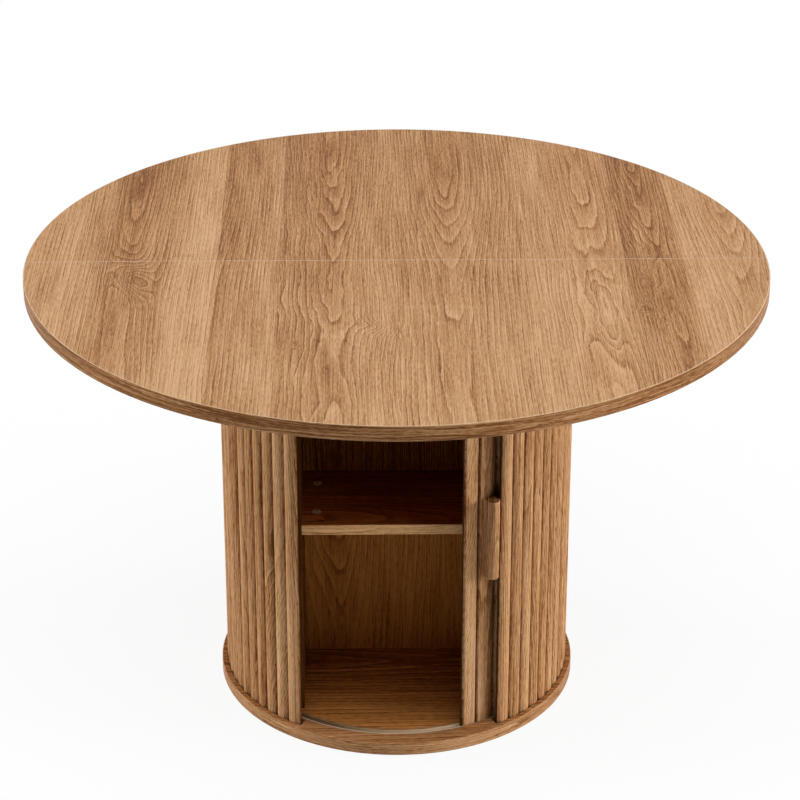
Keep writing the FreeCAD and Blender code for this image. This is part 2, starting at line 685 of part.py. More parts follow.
def make_door_handle():
    body = new_body("door_handle")
    bottom = "(Sizes.handle_middle_height - Sizes.handle_length / 2)"
    half_width = "(Sizes.handle_width / 2)"
    sketch = new_sketch(body, "XY_Plane", bottom)
    draw_bowed_bar(sketch, half_width, DOOR_FACE, f"(Sizes.handle_depth - {half_width})",
                   f"({DOOR_FACE} + Sizes.handle_depth)")
    pad(body, sketch, "Sizes.handle_length")
    top = f"{bottom} + Sizes.handle_length"

    def end_rim(edge):
        at_end = lies_at_height(edge, bottom) or lies_at_height(edge, top)
        return at_end and edge.BoundBox.YMin < -number(DOOR_FACE) - 1
    soften(body, "Sizes.handle_edge_round", end_rim)

    holes = new_sketch(body, "XZ_Plane", DOOR_FACE)
    draw_circles(holes, handle_screw_places(), bored("Sizes.small_screw_diameter"))
    pocket(body, holes, "Sizes.handle_screw_length", backwards=True)
    turn(body, HANDLE_ANGLE)


def make_handle_screws():
    body = new_body("handle_screws", several_solids=True)
    seat = f"({DOOR_BACKING_INSIDE} - Sizes.glue_line)"
    shanks = new_sketch(body, "XZ_Plane", seat)
    draw_circles(shanks, handle_screw_places(), "Sizes.small_screw_diameter")
    pad(body, shanks, "Sizes.handle_screw_length")
    heads = new_sketch(body, "XZ_Plane", seat)
    draw_circles(heads, handle_screw_places(), "Sizes.small_head_diameter")
    pad(body, heads, "Sizes.small_head_height", backwards=True)
    turn(body, HANDLE_ANGLE)


def make_door():
    for index in range(int(number("Sizes.door_slat_count"))):
        make_door_slat(index)
    make_door_backing()
    make_door_handle()
    make_handle_screws()


def make_table():
    make_table_top("table_top_front", rear=False)
    make_table_top("table_top_rear", rear=True)
    make_seam_dowels()
    make_joining_plates()
    make_joining_screws()
    make_plinth()
    make_crown_board()
    make_glides()
    make_side_panel("left_side_panel", -1)
    make_side_panel("right_side_panel", 1)
    make_back_panel()
    make_shelf()
    make_cam_locks()
    make_shelf_pins("shelf_cam_bolts", CAM_PLACES, "Sizes.bolt_diameter", "Sizes.bolt_anchor",
                    "Sizes.cam_distance - Sizes.cam_diameter / 2 - Sizes.screw_fit")
    make_shelf_pins("shelf_dowels", SHELF_DOWEL_PLACES, "Sizes.shelf_dowel_diameter",
                    "Sizes.shelf_dowel_bite", "Sizes.shelf_dowel_bite")
    make_screws("plinth_screws", panel_screw_places(), "Sizes.glide_height",
                "Sizes.panel_screw_length", "Sizes.panel_screw_diameter", True)
    make_screws("crown_board_screws", panel_screw_places(), TOP_UNDERSIDE,
                "Sizes.panel_screw_length", "Sizes.panel_screw_diameter", False)
    make_screws("table_top_screws", top_screw_places(), CROWN_UNDERSIDE,
                "Sizes.top_screw_length", "Sizes.top_screw_diameter", True)
    for name, side in (("left", -1), ("right", 1)):
        make_shell_slats(f"{name}_shell_slats", side)
        make_shell_backing(f"{name}_shell_backing", side)
    make_track("lower_door_track", PLINTH_TOP, GROOVE_FLOOR, "Sizes.track_wall")
    make_track("upper_door_track", CROWN_UNDERSIDE, GROOVE_ROOF, "-Sizes.track_wall")
    make_door()


def write_pieces():
    doc.recompute()
    for item in doc.Objects:
        if {"Invalid", "Error"} & set(item.State):
            raise RuntimeError(f"{item.Label} did not rebuild")
    os.makedirs("parts", exist_ok=True)
    for body in pieces:
        if body.Shape.isNull() or not body.Shape.isValid():
            raise RuntimeError(f"{body.Label} has no valid shape")
        body.Shape.exportStep(os.path.join("parts", f"{body.Label}.step"))


fill_sheet()
make_table()
write_pieces()
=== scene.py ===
"""Looks of a round kitchen table on a slatted storage drum with a sliding tambour door."""

import math

import bpy
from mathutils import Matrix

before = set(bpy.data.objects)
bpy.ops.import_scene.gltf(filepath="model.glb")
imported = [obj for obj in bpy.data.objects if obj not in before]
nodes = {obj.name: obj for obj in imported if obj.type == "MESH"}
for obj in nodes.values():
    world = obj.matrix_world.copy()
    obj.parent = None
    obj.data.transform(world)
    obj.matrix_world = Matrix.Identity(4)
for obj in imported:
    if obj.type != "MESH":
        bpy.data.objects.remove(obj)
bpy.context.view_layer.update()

# Sizes repeated from the part, in millimetres and degrees
TOP_RADIUS = 600.0
TOP_UNDERSIDE = 730.0
DISC_RADIUS = 301.0
SHELL_CROWN = 291.4
SHELL_START = 34.5
SHELL_SLATS_EACH_SIDE = 29
SHELL_PITCH = (180 - SHELL_START) / SHELL_SLATS_EACH_SIDE
DOOR_FACE = 268.6
DOOR_START = 22.95
DOOR_PITCH = 5.65
HANDLE_SLAT_EXTRA = 1.6
HANDLE_MIDDLE = 372.0
HANDLE_HALF = 70.0
SHELF_FRONT = -190.9
TRACK_INSIDE = 255.0

PER_DEGREE = math.pi / 180
MM_PER_METRE = 1000
WHITE = (1.0, 1.0, 1.0)


class Value:
    """One output of a node, on which plain arithmetic adds Math nodes."""

    def __init__(self, web, socket):
        self.web = web
        self.socket = socket

    def maths(self, operation, *terms):
        return self.web.node("ShaderNodeMath", {"operation": operation}, dict(enumerate(terms)))

    def __add__(self, other):
        return self.maths("ADD", self, other)

    def __radd__(self, other):
        return self.maths("ADD", other, self)

    def __sub__(self, other):
        return self.maths("SUBTRACT", self, other)

    def __rsub__(self, other):
        return self.maths("SUBTRACT", other, self)

    def __mul__(self, other):
        return self.maths("MULTIPLY", self, other)

    def __rmul__(self, other):
        return self.maths("MULTIPLY", other, self)

    def __truediv__(self, other):
        return self.maths("DIVIDE", self, other)

    def __rtruediv__(self, other):
        return self.maths("DIVIDE", other, self)

    def __mod__(self, period):
        return self.maths("FLOORED_MODULO", self, period)

    def __abs__(self):
        return self.maths("ABSOLUTE", self)

    def __gt__(self, other):
        return self.maths("GREATER_THAN", self, other)

    def __lt__(self, other):
        return self.maths("LESS_THAN", self, other)

    def root(self):
        return self.maths("SQRT", self)

    def floor(self):
        return self.maths("FLOOR", self)

    def exp(self):
        return self.maths("EXPONENT", self)

    def sine(self):
        return self.maths("SINE", self)

    def limit(self, low=0.0, high=1.0):
        return self.web.node("ShaderNodeClamp", {}, {0: self, 1: low, 2: high})


class Web:
    """The nodes of a material or of the room's light."""

    def __init__(self, owner):
        owner.use_nodes = True
        self.tree = owner.node_tree
        self.tree.nodes.clear()

    def node(self, kind, settings, sockets, output=0):
        """Adds a node, sets it up, feeds its sockets and gives back one of its outputs."""
        made = self.tree.nodes.new(kind)
        for name, setting in settings.items():
            if name == "stops":
                lay_stops(made.color_ramp, setting)
            elif name == "steps":
                made.color_ramp.interpolation = setting
            else:
                setattr(made, name, setting)
        for key, value in sockets.items():
            self.feed(made.inputs[key], value)
        if made.outputs:
            return Value(self, made.outputs[output])

    def feed(self, socket, value):
        if isinstance(value, Value):
            self.tree.links.new(value.socket, socket)
        elif socket.type == "RGBA":
            socket.default_value = (*value, 1.0)
        else:
            socket.default_value = value

    def seen_white(self):
        """1 for what the eye, a mirror or a glass sees, and 0 for the light that things give each other."""
        names = ("Is Camera Ray", "Is Glossy Ray", "Is Transmission Ray")
        camera, glossy, through = [self.node("ShaderNodeLightPath", {}, {}, name) for name in names]
        return (camera + glossy + through).limit()


class Finish(Web):
    """One material: its shader's plain values, and the nodes that feed the rest."""

    def __init__(self, name, specular=0.5, metallic=0.0):
        self.material = bpy.data.materials.new(name)
        super().__init__(self.material)
        self.plain_values = {"Specular IOR Level": specular, "Metallic": metallic}

    def made(self, colour, roughness, height, depth):
        """Adds the shader, with a relief of a height from 0 to 1 over a depth in millimetres."""
        relief = {"Height": height, "Distance": depth / MM_PER_METRE, "Strength": 1.0}
        normal = self.node("ShaderNodeBump", {}, relief)
        sockets = {"Base Color": colour, "Roughness": roughness, "Normal": normal}
        self.surface(self.node("ShaderNodeBsdfPrincipled", {}, {**self.plain_values, **sockets}))
        return self.material

    def surface(self, shader):
        self.node("ShaderNodeOutputMaterial", {}, {"Surface": shader})

    def place(self):
        """Where a point is on the object, in millimetres."""
        point = self.node("ShaderNodeTexCoord", {}, {}, "Object")
        return [MM_PER_METRE * self.part(point, axis) for axis in range(3)]

    def part(self, vector, axis):
        return self.node("ShaderNodeSeparateXYZ", {}, {0: vector}, axis)

    def vector(self, x, y, z):
        return self.node("ShaderNodeCombineXYZ", {}, {0: x, 1: y, 2: z})

    def bearing(self, x, y):
        """Angle round the drum in degrees, from the front towards the right."""
        return self.node("ShaderNodeMath", {"operation": "ARCTAN2"}, {0: x, 1: 0 - y}) / PER_DEGREE

    def rise(self, value, low, high):
        """Goes smoothly from 0 at low to 1 at high."""
        return self.node("ShaderNodeMapRange", {"interpolation_type": "SMOOTHSTEP"},
                         {0: value, 1: low, 2: high, 3: 0.0, 4: 1.0})

    def noise(self, x, y, z, detail=2.0, roughness=0.5):
        """Soft noise about zero, from -0.5 to 0.5 or so."""
        sockets = {"Vector": self.vector(x, y, z), "Scale": 1.0, "Detail": detail, "Roughness": roughness}
        return self.node("ShaderNodeTexNoise", {}, sockets) - 0.5

    def mottle(self, place, size, detail=2.0, roughness=0.5):
        """Noise of one size in all directions, in millimetres."""
        x, y, z = place
        return self.noise(x / size, y / size, z / size, detail, roughness)

    def chance(self, number, salt):
        """An even random number from 0 to 1 that belongs to a whole number."""
        sockets = {"Vector": self.vector(number, salt, 0.5)}
        return self.node("ShaderNodeTexWhiteNoise", {"noise_dimensions": "3D"}, sockets)

    def ramp(self, value, stops, steps="LINEAR"):
        """A colour that changes with a value, by stops of (place, colour)."""
        return self.node("ShaderNodeValToRGB", {"stops": stops, "steps": steps}, {0: value})

    def level(self, value, stops):
        """A number that changes with a value, by stops of (place, number)."""
        return self.part(self.ramp(value, [(spot, (number,) * 3) for spot, number in stops]), 0)

    def mix(self, share, first, second, blend="MIX"):
        """Blends two colours."""
        settings = {"data_type": "RGBA", "blend_type": blend}
        return self.node("ShaderNodeMix", settings, {0: share, 6: first, 7: second}, 2)

    def tint(self, share, colour, shade):
        """Multiplies a colour by a shade."""
        return self.mix(share, colour, shade, "MULTIPLY")

    def blend(self, share, first, second):
        """Blends two numbers."""
        return self.node("ShaderNodeMix", {"data_type": "FLOAT"}, {0: share, 2: first, 3: second})


def lay_stops(color_ramp, stops):
    """Gives a colour ramp its stops."""
    elements = color_ramp.elements
    while len(elements) < len(stops):
        elements.new(1.0)
    for element, (spot, colour) in zip(elements, stops):
        element.position = spot
        element.color = (*colour, 1.0)


def axis_distance(x, y):
    """How far a point is from the drum's axis."""
    return (x * x + y * y).root()


def packed(number, most):
    """A number between minus and plus most, as one from 0 to 1 that a colour ramp can hold."""
    return (number + most) / (2 * most)


def unpacked(number, most):
    """The number that was packed."""
    return 2 * most * number - most


# Colours of the oak from dark to pale
OAK_TONES = (
    (0.00, (0.180, 0.069, 0.022)),
    (0.25, (0.325, 0.150, 0.057)),
    (0.50, (0.470, 0.247, 0.108)),
    (0.75, (0.580, 0.334, 0.166)),
    (1.00, (0.680, 0.427, 0.238)),
)

# One growth ring from its pores to the next: a dark line, the plain wood, then a pale line
RING_TONES = (
    (0.00, 0.06),
    (0.10, 0.14),
    (0.26, 0.50),
    (0.62, 0.58),
    (0.80, 0.80),
    (0.91, 1.00),
    (0.97, 0.72),
    (1.00, 0.06),
)
PLAIN_WOOD = 0.55

# Sizes of the oak's figure across and along the grain, in millimetres
SWAY_SIZE = (150, 600)
WANDER_SIZE = (40, 170)
FRAY_SIZE = (6, 60)
GRIT_SIZE = (1.6, 12)
FIBRE_SIZE = (1.5, 170)
SPECKLE_SIZE = (1.7, 15)
CLOUD_SIZE = (26, 260)
CALM_SIZE = (60, 200)
PORE_SIZE = (1.3, 16)

# How far the rings sway, wander and fray, in millimetres
SWAY_ASIDE = 36
SWAY_UNDER = 30
WANDER_ASIDE = 11
WANDER_UNDER = 16
FRAY = 2.2
GRIT = 0.9

# Over how many millimetres the rings crowd together, by how many rings, and how far the redder heart goes
CROWDING_REACH = 24
CROWDING = 1.5
HEART_REACH = (10, 60)

# How ragged a knot is, and how much smaller its dark eye is than the rings that it pushes
KNOT_RAGGEDNESS = 0.9
KNOT_EYE = 3.5


class Oak:
    """Figure of a flat-sawn oak board: growth rings, fibres and pores."""

    def __init__(self, finish, across, along, board):
        self.finish = finish
        self.across = across
        self.along = along
        self.board = board

    def figure(self, size, detail, roughness=0.5, shift=0.0):
        """Noise of a size across and along the grain; a shift makes it another one of the same board."""
        width, length = size
        board = self.board + shift if shift else self.board
        return self.finish.noise(self.across / width, self.along / length, board, detail, roughness)

    def saw(self, heart, below, spacing, knots=(), liveliness=1.0):
        """Cuts the growth rings: the tree's heart runs beside the board's middle and below its face."""
        finish = self.finish
        sway = self.figure(SWAY_SIZE, 1.0)
        wander = self.figure(WANDER_SIZE, 2.0, shift=0.37)
        ragged = self.figure(FRAY_SIZE, 3.0, 0.6)
        grit = self.figure(GRIT_SIZE, 1.0)
        aside = self.across - heart + (SWAY_ASIDE * liveliness) * sway + (WANDER_ASIDE * liveliness) * wander
        under = below + (SWAY_UNDER * liveliness) * sway - (WANDER_UNDER * liveliness) * wander
        reach = (aside * aside + under * under).root()
        self.knot = 0.0
        for knot_across, knot_along, width, length, lean, height, dark in knots:
            v = (self.along - knot_along) / length
            u = (self.across - knot_across) / width + lean * v
            spread = u * u + v * v + KNOT_RAGGEDNESS * wander
            if height:
                reach = reach + height * (0 - spread).exp()
            if dark:
                self.knot = self.knot + dark * (-KNOT_EYE * spread).exp()
        reach = reach + FRAY * ragged + GRIT * grit
        crowding = finish.noise(reach / CROWDING_REACH, self.board, 0.5, 1.0)
        self.ring = finish.level((reach / spacing + CROWDING * crowding) % 1, RING_TONES)
        self.core = 1 - finish.rise(reach, *HEART_REACH)

    def tone(self, base, contrast):
        """How pale the wood is, from 0 to 1."""
        fibres = self.figure(FIBRE_SIZE, 2.0, 0.6)
        speckle = self.figure(SPECKLE_SIZE, 2.0, 0.65)
        clouds = self.figure(CLOUD_SIZE, 3.0, 0.55)
        calm = self.figure(CALM_SIZE, 1.0, shift=0.71)
        dash = self.figure(PORE_SIZE, 2.0, 0.6, shift=0.53)
        self.pores = self.finish.rise(dash, 0.03, 0.18)
        rings = (0.38 + 0.8 * calm) * (self.ring - PLAIN_WOOD)
        streaks = rings + 1.15 * fibres + 0.75 * speckle + 0.55 * clouds
        streaks = streaks - 0.19 * self.pores - 0.04 * self.core
        return base + contrast * streaks - self.knot

    def height(self):
        """Relief of the brushed surface, from 0 in a pore to 1 on a hard ring."""
        return (0.45 + 0.4 * self.ring - 0.5 * self.pores).limit()


# Gloss and roughness of the oak outside and inside the cabinet, and how much smoother its hard rings are
OUTER_SPECULAR = 0.06
INNER_SPECULAR = 0.05
OUTER_ROUGHNESS = 0.52
INNER_ROUGHNESS = 0.54
HANDLE_ROUGHNESS = 0.5
SMOOTHER_RINGS = 0.1

# Depth of the brushed grain, in millimetres
BOARD_GRAIN = 0.15
SLAT_GRAIN = 0.3

# Tints of the wood near the tree's heart and on the two discs; the redder tints of the cabinet's floor, back
# panel and shelf and the dark tint of the side panels are painted shade, and the shelf's pale edge banding
# is made paler still as painted light
HEART_TINT = (0.97, 0.86, 0.76)
DISC_TINT = (0.98, 0.84, 0.69)
CABINET_FLOOR_TINT = (1.14, 0.95, 0.59)
BACK_PANEL_TINT = (1.14, 0.78, 0.28)
SIDE_PANEL_SHADOW_TINT = (0.42, 0.30, 0.12)
SHELF_TINT = (1.04, 0.57, 0.25)
SHELF_EDGE_TINT = (1.36, 1.31, 1.12)

# Painted shade for two places in deep shade: the discs at the slats' feet, and the right shell's front edge
SLAT_FOOT_SHADOW_TINT = (0.22, 0.18, 0.14)
SHELL_EDGE_SHADOW_TINT = (0.24, 0.17, 0.11)


def stain(finish, tone, core, tint=None):
    """Turns a tone into the oak's colour, redder near the heart."""
    colour = finish.tint(0.4 * core, finish.ramp(tone, OAK_TONES), HEART_TINT)
    if tint:
        colour = finish.tint(1.0, colour, tint)
    return colour


def brushed(finish, colour, height, roughness, depth=BOARD_GRAIN):
    """Gives wood its brushed surface, a little smoother on the hard rings."""
    return finish.made(colour, roughness - SMOOTHER_RINGS * height, height, depth)


# Boards of the table top: left edge, heart, how deep it lies, where the arches end, ring spacing, waviness
TOP_BOARDS = (
    (-600, -612, 18, 0, 6.4, 0.5),
    (-468, -434, 46, 60, 6.4, 0.7),
    (-290, -304, 42, 0, 5.8, 0.4),
    (-190, -108, 52, -120, 5.8, 1.2),
    (0, 88, 66, 0, 6.4, 0.5),
    (208, 318, 24, -300, 6.2, 0.8),
    (368, 424, 32, 0, 5.2, 1.1),
    (464, 552, 54, 40, 6.2, 0.4),
)

# The most that each of those numbers, and the count of boards, can be in a colour ramp
MOST_HEART = 800
MOST_DEPTH = 100
MOST_SHIFT = 300
MOST_SPACING = 20
MOST_WAVES = 2
MOST_BOARDS = 10

# How far apart the boards' noises lie, and where along a board its arches close
BOARDS_APART = 7
ARCHES = (-150, 450)

# How pale the table top is from left to right, board by board
TOP_SHADES = (
    (-600, 0.68), (-520, 0.74), (-500, 0.65), (-470, 0.50),
    (-466, 0.43), (-400, 0.46), (-365, 0.60), (-335, 0.78), (-292, 0.83),
    (-288, 0.43), (-192, 0.65),
    (-188, 0.42), (-100, 0.51), (-2, 0.63),
    (2, 0.56), (80, 0.54), (206, 0.60),
    (210, 0.74), (255, 0.65), (300, 0.71), (366, 0.59),
    (370, 0.41), (440, 0.46), (462, 0.53),
    (466, 0.76), (520, 0.73), (600, 0.66),
)

# Knots of the table top: place, half width, half length, lean, how far they push the rings, darkness
TOP_KNOTS = (
    (-421, -65, 25, 60, 0.4, 46, 0.16),
    (-460, -69, 7, 15, 0.0, 14, 0.26),
    (-452, 60, 34, 120, 0.0, 0, 0.12),
    (-440, -230, 26, 90, 0.0, 0, 0.10),
    (-159, -318, 6, 14, 0.3, 12, 0.25),
    (-29, -262, 30, 26, 0.6, -14, 0.0),
    (318, -150, 24, 230, 0.2, 30, 0.05),
    (407, 34, 9, 20, 0.4, 14, 0.16),
    (402, -80, 9, 22, 0.4, 15, 0.20),
    (388, -196, 10, 24, 0.5, 18, 0.38),
    (412, -236, 7, 16, 0.4, 12, 0.22),
)


def oak_top():
    """Table top: eight boards side by side, and a band round the edge."""
    finish = Finish("oak_top", OUTER_SPECULAR)
    x, y, z = finish.place()
    spot = packed(x, TOP_RADIUS)
    saw_stops = []
    turn_stops = []
    for index, (edge, heart, depth, shift, spacing, waves) in enumerate(TOP_BOARDS):
        start = packed(edge, TOP_RADIUS)
        saw_stops.append((start, (packed(heart, MOST_HEART), depth / MOST_DEPTH, spacing / MOST_SPACING)))
        turn_stops.append((start, (waves / MOST_WAVES, packed(shift, MOST_SHIFT), index / MOST_BOARDS)))
    saw_marks = finish.ramp(spot, saw_stops, "CONSTANT")
    turn_marks = finish.ramp(spot, turn_stops, "CONSTANT")
    shade = finish.level(spot, [(packed(edge, TOP_RADIUS), tone) for edge, tone in TOP_SHADES])

    boards = Oak(finish, x, y, BOARDS_APART * MOST_BOARDS * finish.part(turn_marks, 2))
    along = y + unpacked(finish.part(turn_marks, 1), MOST_SHIFT)
    heart = unpacked(finish.part(saw_marks, 0), MOST_HEART)
    below = MOST_DEPTH * finish.part(saw_marks, 1) * (1 - 0.6 * finish.rise(along, *ARCHES))
    spacing = MOST_SPACING * finish.part(saw_marks, 2)
    boards.saw(heart, below, spacing, TOP_KNOTS, liveliness=MOST_WAVES * finish.part(turn_marks, 0))
    # Painted shade and light: the top darkens towards the back and pales towards the front
    painted_back_shade = 0.04 * (y > 0) + 0.08 * finish.rise(y, 50, 500)
    painted_front_light = 0.08 * finish.rise(0 - y, 50, 450)
    tone = boards.tone(shade, contrast=1.3) - painted_back_shade + painted_front_light

    bearing = finish.bearing(x, 0 - abs(y))
    band = Oak(finish, z, TOP_RADIUS * PER_DEGREE * bearing, 3.0 + (y > 0))
    band.saw(heart=TOP_UNDERSIDE + 14, below=10.0, spacing=4.0, liveliness=0.5)

    radius = axis_distance(x, y)
    rim = finish.rise(radius, TOP_RADIUS - 0.95, TOP_RADIUS - 0.55)
    # The paler arris inside the rim is partly wear and partly a painted highlight
    arris_highlight_and_wear = finish.rise(radius, TOP_RADIUS - 2.4, TOP_RADIUS - 1.4) * (1 - rim)
    lipping = (1 - finish.rise(abs(y), 1.0, 1.6)) * (1 - rim)
    tone = finish.blend(rim, tone, band.tone(0.31, contrast=1.35))
    colour = stain(finish, tone, boards.core * (1 - rim))
    colour = finish.mix(0.40 * lipping, colour, (0.74, 0.62, 0.50))
    colour = finish.mix(0.6 * arris_highlight_and_wear, colour, (0.78, 0.60, 0.43))
    # The underside is a dark brown sheet, made this dark as painted shade so that it throws little light
    # into the cabinet
    mottle = finish.noise(x / 9, y / 9, 4.0, 4.0, 0.6) + 0.5
    sheet = finish.mix(mottle, (0.10, 0.052, 0.027), (0.19, 0.108, 0.062))
    underside = 1 - finish.rise(z, TOP_UNDERSIDE + 0.1, TOP_UNDERSIDE + 0.5)
    colour = finish.mix(underside, colour, sheet)
    height = finish.blend(rim, boards.height(), band.height())
    return brushed(finish, colour, height, OUTER_ROUGHNESS)


def oak_disc(name, shade):
    """Round boards of the drum: grain from side to side, and a band round the edge."""
    finish = Finish(name, OUTER_SPECULAR)
    x, y, z = finish.place()
    radius = axis_distance(x, y)
    bearing = finish.bearing(x, y)
    board = Oak(finish, y, x, board=11.0)
    board.saw(heart=-40.0, below=20 + 18 * finish.rise(x, -200, 200), spacing=10.5)
    cabinet = (1 - finish.rise(radius, TRACK_INSIDE - 1, TRACK_INSIDE)) * (y < 0)
    # Painted shade: inside the cabinet the floor darkens towards the back
    painted_cabinet_shade = 0.17 - 0.47 * finish.rise(y, -225, -95)
    tone = board.tone(shade + cabinet * painted_cabinet_shade, contrast=1.7)
    band = Oak(finish, z, DISC_RADIUS * PER_DEGREE * bearing, board=17.0)
    band.saw(heart=16.0, below=9.0, spacing=4.0, liveliness=0.5)

    rim = finish.rise(radius, DISC_RADIUS - 0.85, DISC_RADIUS - 0.5)
    # Painted highlight and wear: a paler arris just inside the rim
    arris_highlight_and_wear = finish.rise(radius, DISC_RADIUS - 1.8, DISC_RADIUS - 1.0) * (1 - rim)
    tone = finish.blend(rim, tone, band.tone(0.50, contrast=1.4)) + 0.3 * arris_highlight_and_wear
    colour = stain(finish, tone, board.core * (1 - rim))
    colour = finish.tint(1 - rim, colour, DISC_TINT)
    colour = finish.tint(cabinet, colour, CABINET_FLOOR_TINT)
    # Painted shadow: the disc darkens round the fixed slats' feet
    foot_start = finish.rise(radius, DOOR_FACE + 4, DOOR_FACE + 8)
    foot_end = finish.rise(radius, SHELL_CROWN - 0.5, SHELL_CROWN + 1.5)
    painted_foot_shadow = (foot_start - foot_end) * finish.rise(abs(bearing), SHELL_START - 1, SHELL_START)
    colour = finish.tint(painted_foot_shadow, colour, SLAT_FOOT_SHADOW_TINT)
    height = finish.blend(rim, board.height(), band.height())
    return brushed(finish, colour, height, OUTER_ROUGHNESS)


# Where the shelf's painted shade deepens, from front to back in millimetres
SHELF_MIDDLE = -110
SHELF_BACK = -20


def oak_shelf():
    """The shelf: grain from side to side, darker to the back as painted shade, with a paler strip on its
    front edge that is edge banding, partly painted light.
    """
    finish = Finish("oak_shelf", INNER_SPECULAR)
    x, y, z = finish.place()
    wood = Oak(finish, y + z, x, board=21.0)
    wood.saw(heart=200.0, below=26 + 14 * finish.rise(x, -150, 150), spacing=8.0)
    edge = 1 - finish.rise(y, SHELF_FRONT + 0.2, SHELF_FRONT + 0.6)
    # Painted shade: the shelf darkens from its front towards the back
    painted_front_shade = 0.45 * finish.rise(y, SHELF_FRONT - 5, SHELF_MIDDLE)
    painted_back_shade = 0.25 * finish.rise(y, SHELF_MIDDLE, SHELF_BACK)
    tone = wood.tone(0.82 - (painted_front_shade + painted_back_shade) + 0.08 * edge, contrast=1.5)
    face_colour = stain(finish, tone, wood.core, SHELF_TINT)
    edge_colour = stain(finish, tone, wood.core, SHELF_EDGE_TINT)
    colour = finish.mix(edge, face_colour, edge_colour)
    return brushed(finish, colour, wood.height(), INNER_ROUGHNESS)


# Where the back panel's second strip begins and ends, and the two strips' hearts, in millimetres
SECOND_STRIP_START = 78.0
SECOND_STRIP_END = 150.0
PANEL_HEART = -105.0
HEARTS_APART = 290


def oak_panel(name, shade, board, tint):
    """Upright boards inside the drum, darker to the top as painted shade; the back one is of two strips side
    by side.
    """
    finish = Finish(name, INNER_SPECULAR)
    x, y, z = finish.place()
    second = (x > SECOND_STRIP_START) * (x < SECOND_STRIP_END)
    wood = Oak(finish, x + y, z, board + 5 * second)
    heart = PANEL_HEART + HEARTS_APART * second
    wood.saw(heart, below=62 - 44 * finish.rise(z, 20, 520), spacing=8.0, liveliness=0.8)
    # Painted shade: the boards darken upwards, most above the shelf
    painted_top_shade = 0.18 * finish.rise(z, 40, 360) + 0.40 * finish.rise(z, 340, 440)
    tone = wood.tone(shade - painted_top_shade + 0.05 * second, contrast=1.5)
    return brushed(finish, stain(finish, tone, wood.core, tint), wood.height(), INNER_ROUGHNESS)


# Each slat's random draws: its heart, arches, shade, slant and waviness
HEART_DRAW = 1.0
ARCH_DRAW = 2.0
SHADE_DRAW = 3.0
SLANT_DRAW = 4.0
WAVE_DRAW = 5.0

# Numbers of the first slats, so that no two slats share their draws, and how far apart their noises lie
FIRST_LEFT_SLAT = 40
FIRST_DOOR_SLAT = 90
SLATS_APART = 1.7

# Heights about which a slat's grain slants and its arches close, in millimetres
SLANT_MIDDLE = 380
ARCH_MIDDLE = 400


def oak_slats(finish, slat, across, z, shade, painted_edge_shade=None):
    """Upright slats, each one its own piece of wood with its own slant of the grain."""
    wood = Oak(finish, across, z, SLATS_APART * slat)
    slant = finish.chance(slat, SLANT_DRAW) - 0.5
    heart = 60 * (finish.chance(slat, HEART_DRAW) - 0.5) + 2.4 * slant * slant * slant * (z - SLANT_MIDDLE)
    arch = (finish.chance(slat, ARCH_DRAW) - 0.5) * (z - ARCH_MIDDLE)
    below = 6 + 22 * finish.rise(arch, -160, 160)
    wood.saw(heart, below, spacing=4.2, liveliness=0.3 + 0.5 * finish.chance(slat, WAVE_DRAW))
    tone = wood.tone(shade + 0.19 * finish.chance(slat, SHADE_DRAW), contrast=1.3)
    colour = stain(finish, tone, wood.core)
    # Painted shade on the right shell's front edge
    if painted_edge_shade is not None:
        colour = finish.tint(painted_edge_shade, colour, SHELL_EDGE_SHADOW_TINT)
    return brushed(finish, colour, wood.height(), OUTER_ROUGHNESS, SLAT_GRAIN)


def oak_shell_slats():
    """The fixed half-round slats, counted from the opening towards the back on each side."""
    finish = Finish("oak_shell_slats", specular=0.02)
    x, y, z = finish.place()
    turn = (abs(finish.bearing(x, y)) - SHELL_START) / SHELL_PITCH
    slat = turn.floor()
    across = (turn - slat - 0.5) * (SHELL_CROWN * PER_DEGREE * SHELL_PITCH)
    # Painted shade: the slats darken into the grooves between them, and the right shell's front edge is
    # tinted dark
    painted_groove_shade = finish.rise(abs(across), 9.6, 12.4)
    painted_shade_front_edge = (1 - finish.rise(turn, 0.02, 0.07)) * (x > 0)
    return oak_slats(finish, slat + FIRST_LEFT_SLAT * (x < 0), across, z, 0.5 - 0.4 * painted_groove_shade, painted_shade_front_edge)


def oak_door_slats():
    """The flat slats of the door; the second one, which carries the handle, is wider."""
    finish = Finish("oak_door_slats", specular=0.01)
    x, y, z = finish.place()
    turn = finish.bearing(x, y) - DOOR_START
    widening = (turn - DOOR_PITCH).limit(0.0, HANDLE_SLAT_EXTRA)
    slat = ((turn - widening) / DOOR_PITCH).floor()
    across = (turn / DOOR_PITCH - slat - 0.5) * (DOOR_FACE * PER_DEGREE * DOOR_PITCH)
    # Painted light and shade: darker into the grooves, a paler first slat and lit leading end face, and the
    # handle slat pale on its left and darker towards the shell
    painted_groove_shade = finish.rise(abs(across), 11.4, 13.0)
    painted_light_leading_edge = 1 - finish.rise(turn, 0.05, 0.15)
    first = turn < DOOR_PITCH
    second = (turn > DOOR_PITCH) * (turn < 2 * DOOR_PITCH + HANDLE_SLAT_EXTRA)
    painted_handle_slat_shade = 0.31 * finish.rise(turn, 1.3 * DOOR_PITCH, 1.85 * DOOR_PITCH)
    shade = 0.51 + 0.12 * first + second * (0.06 - painted_handle_slat_shade) - 0.30 * painted_groove_shade + 0.6 * painted_light_leading_edge
    return oak_slats(finish, slat + FIRST_DOOR_SLAT, across, z, shade)


